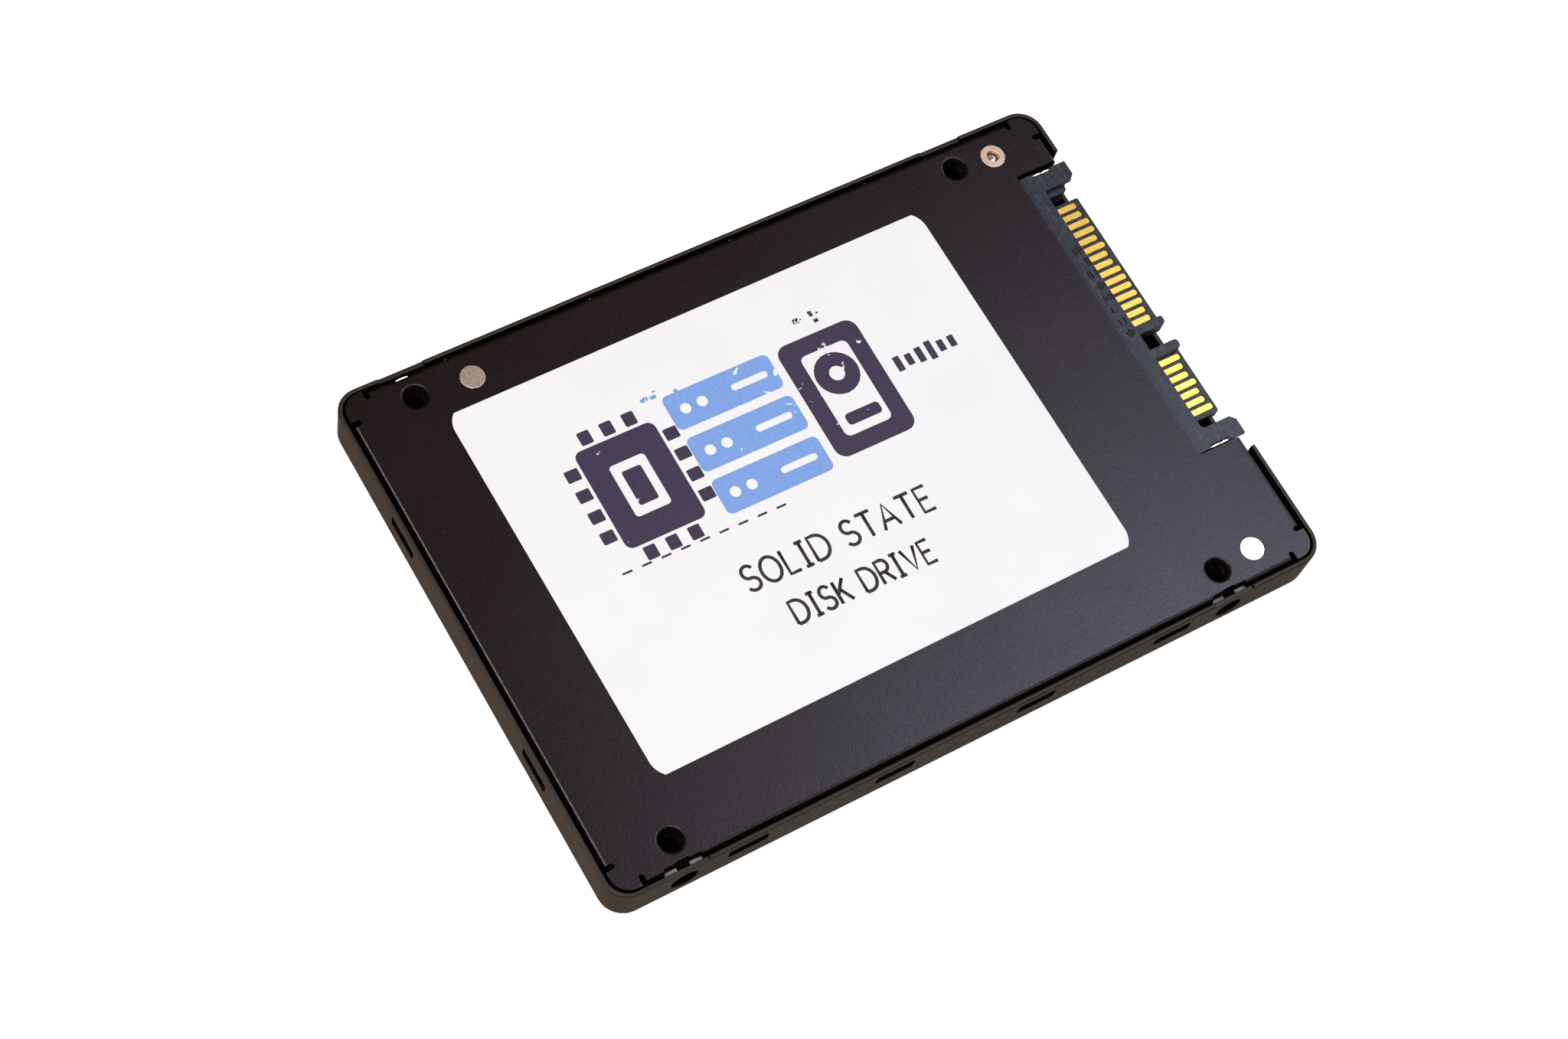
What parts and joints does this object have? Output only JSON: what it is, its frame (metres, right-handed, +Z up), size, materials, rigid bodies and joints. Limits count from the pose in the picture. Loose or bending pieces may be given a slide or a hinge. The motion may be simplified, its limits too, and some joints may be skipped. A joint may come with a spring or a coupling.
{
  "type": "solid state drive",
  "caption": "Flat metal-cased 2.5 inch solid state drive with a white label, tapped mounting holes and a serial plug with separate power and signal tongues at one end.",
  "frame": {"origin": "centre of the whole drive's footprint, on the plane that its plain side rests on", "axes": "+X along the case to the connector end, +Z up through the label side, +Y across the case to the power end of the plug"},
  "size_m": [0.1001, 0.0698, 0.0071],
  "materials": {
    "shell_paint": "smooth satin black paint",
    "cover_paint": "fine-textured matte black paint",
    "label_paper": "smooth white label stock, printed",
    "board_laminate": "green solder mask over glass-fibre laminate",
    "plug_plastic": "dark blue-grey glass-filled plastic with flow marks",
    "contact_gold": "gold-plated copper alloy",
    "tinned_metal": "bright tinned metal",
    "standoff_steel": "plain bright steel",
    "screw_steel": "zinc-plated steel",
    "insert_brass": "bare copper-coloured metal",
    "chip_epoxy": "black moulded epoxy",
    "ferrite": "grey moulded ferrite",
    "tantalum": "yellow moulded body",
    "silicone": "soft pale blue-grey silicone"
  },
  "bodies": {
    "root": {"blind_standoff_front": "standoff_steel", "blind_standoff_rear": "standoff_steel", "board_lock_left": "tinned_metal", "board_lock_right": "tinned_metal", "board_screw_1": "screw_steel", "board_screw_2": "screw_steel", "board_screw_3": "screw_steel", "capacitor_1": "tantalum", "capacitor_2": "tantalum", "capacitor_3": "tantalum", "capacitor_4": "tantalum", "circuit_board": "board_laminate", "connector_housing": "plug_plastic", "controller_chip": "chip_epoxy", "cover_plate": "cover_paint", "crystal": "tinned_metal", "firmware_chip": "chip_epoxy", "flash_package_1": "chip_epoxy", "flash_package_2": "chip_epoxy", "flash_package_3": "chip_epoxy", "flash_package_4": "chip_epoxy", "knurled_insert": "insert_brass", "label": "label_paper", "memory_chip": "chip_epoxy", "outer_shell": "shell_paint", "power_contact_01": "contact_gold", "power_contact_02": "contact_gold", "power_contact_03": "contact_gold", "power_contact_04": "contact_gold", "power_contact_05": "contact_gold", "power_contact_06": "contact_gold", "power_contact_07": "contact_gold", "power_contact_08": "contact_gold", "power_contact_09": "contact_gold", "power_contact_10": "contact_gold", "power_contact_11": "contact_gold", "power_contact_12": "contact_gold", "power_contact_13": "contact_gold", "power_contact_14": "contact_gold", "power_contact_15": "contact_gold", "power_inductor_1": "ferrite", "power_inductor_2": "ferrite", "signal_contact_1": "contact_gold", "signal_contact_2": "contact_gold", "signal_contact_3": "contact_gold", "signal_contact_4": "contact_gold", "signal_contact_5": "contact_gold", "signal_contact_6": "contact_gold", "signal_contact_7": "contact_gold", "thermal_pad": "silicone", "voltage_regulator": "chip_epoxy"}
  },
  "joints": []
}
